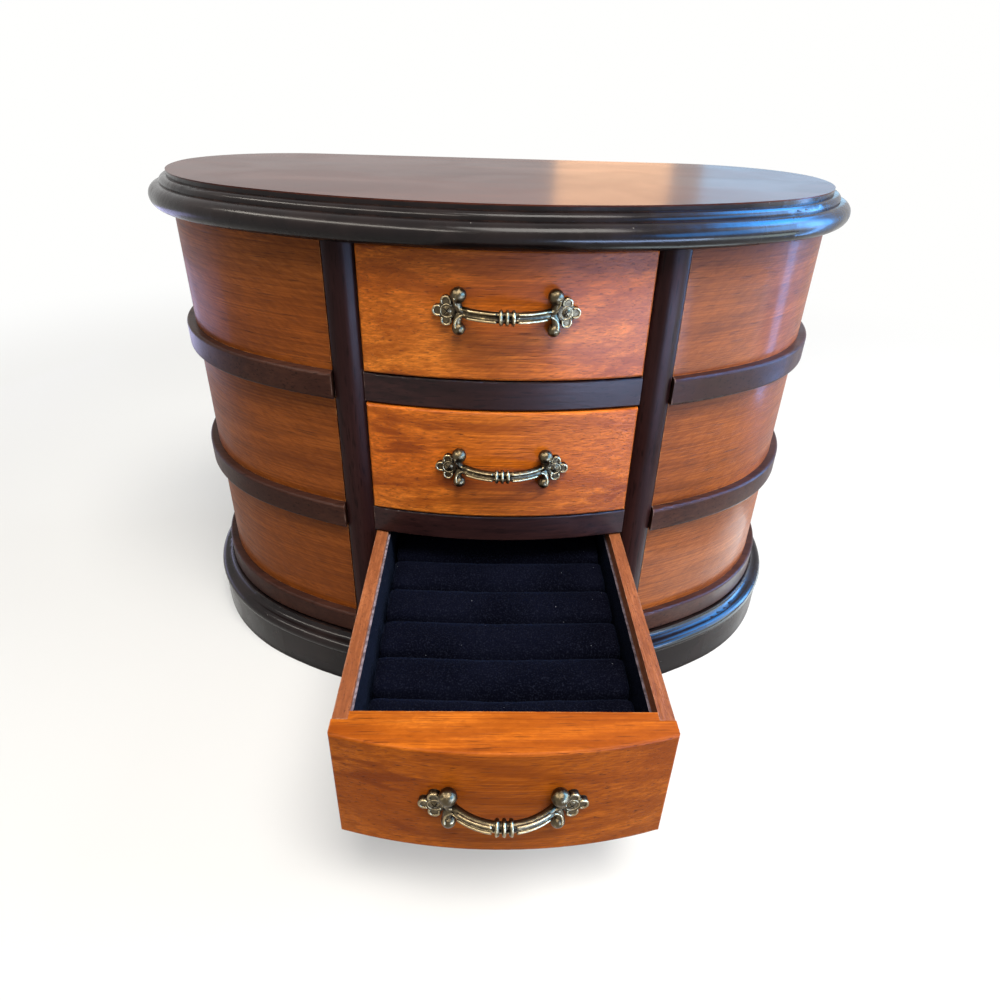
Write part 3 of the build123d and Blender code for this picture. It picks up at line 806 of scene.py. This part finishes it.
def softbox(name, spot, width, tall, power, colour, glint=False, lying=None):
    """An area lamp aimed at the box, or lying on the floor at an angle; a glint lights polish alone."""
    lamp = bpy.data.lights.new(name, "AREA")
    lamp.shape = "RECTANGLE"
    lamp.size, lamp.size_y = width, tall
    lamp.energy = power
    lamp.color = colour
    made = bpy.data.objects.new(name, lamp)
    made.location = spot
    if lying is None:
        made.rotation_euler = (aim - made.location).to_track_quat("-Z", "Y").to_euler()
    else:
        made.rotation_euler = (math.pi, 0.0, lying)
    made.visible_diffuse = not glint
    made.visible_camera = False
    scene.collection.objects.link(made)


softbox("key_softbox", (0.30, -0.80, 1.72), 1.0, 0.8, 44.0, (1.0, 0.96, 0.90))
softbox("window_softbox", (1.35, -0.10, 0.60), 0.8, 1.1, 15.0, (0.92, 0.96, 1.0))
softbox("window_glint", (1.35, 0.20, 0.75), 0.55, 1.3, 46.0, (0.03, 0.36, 1.0), glint=True)
softbox("window_streak_glint", (0.52, 0.0, 0.12), 0.06, 0.20, 1.1, (0.14, 0.42, 1.0), glint=True)
softbox("low_window_glint", (1.25, -0.45, 0.55), 1.5, 0.5, 50.0, (0.02, 0.34, 1.0), glint=True)
softbox("high_window_glint", (1.00, 0.25, 1.09), 0.9, 0.5, 34.0, (0.02, 0.33, 1.0), glint=True)
softbox(
    "near_floor_glint", (0.2175, -0.095, 0.002), 0.23, 0.07, 0.32, (0.75, 0.93, 1.0), glint=True, lying=0.95
)
softbox("sunlit_floor_glint", (0.36, -0.54, 0.06), 0.45, 0.10, 6.0, (0.42, 0.60, 1.0), glint=True)
softbox("right_floor_glint", (0.55, -0.26, 0.07), 0.35, 0.12, 1.1, (0.75, 0.95, 0.92), glint=True)
softbox("left_floor_glint", (-0.60, 0.22, 0.05), 0.5, 0.12, 0.5, (0.50, 0.50, 1.0), glint=True)
softbox("lamp_glint", (0.46, 2.40, 0.50), 0.42, 0.5, 1.5, (1.0, 0.48, 0.15), glint=True)
softbox("sky_glint", (1.15, 2.40, 0.50), 0.7, 0.5, 1.8, (0.14, 0.58, 1.0), glint=True)
softbox("left_strip_glint", (-0.75, -0.65, 1.05), 1.5, 0.16, 18.0, (1.0, 0.94, 0.84), glint=True)

focal_pixels = 700.13
image_width = 1000.0
sensor = 36.0
pitch = math.radians(31.411)
yaw = math.radians(1.933)
roll_turn = math.radians(1.773)
principal = (500.194, 512.709)
eye = (-0.0102995, -0.4369206, 0.3048589)
nearest = 0.01
forward = Vector((math.sin(yaw) * math.cos(pitch), math.cos(yaw) * math.cos(pitch), -math.sin(pitch)))
level_right = Vector((math.cos(yaw), -math.sin(yaw), 0.0))
level_up = level_right.cross(forward)
right = level_right * math.cos(roll_turn) + level_up * math.sin(roll_turn)
up = level_up * math.cos(roll_turn) - level_right * math.sin(roll_turn)
view = bpy.data.cameras.new("photo_camera")
view.sensor_width = sensor
view.lens = focal_pixels / image_width * sensor
view.shift_x = (image_width / 2 - principal[0]) / image_width
view.shift_y = (principal[1] - image_width / 2) / image_width
view.clip_start = nearest
camera = bpy.data.objects.new("photo_camera", view)
turn = Matrix((right, up, -forward)).transposed().to_4x4()
camera.matrix_world = Matrix.Translation(eye) @ turn
scene.collection.objects.link(camera)
scene.camera = camera
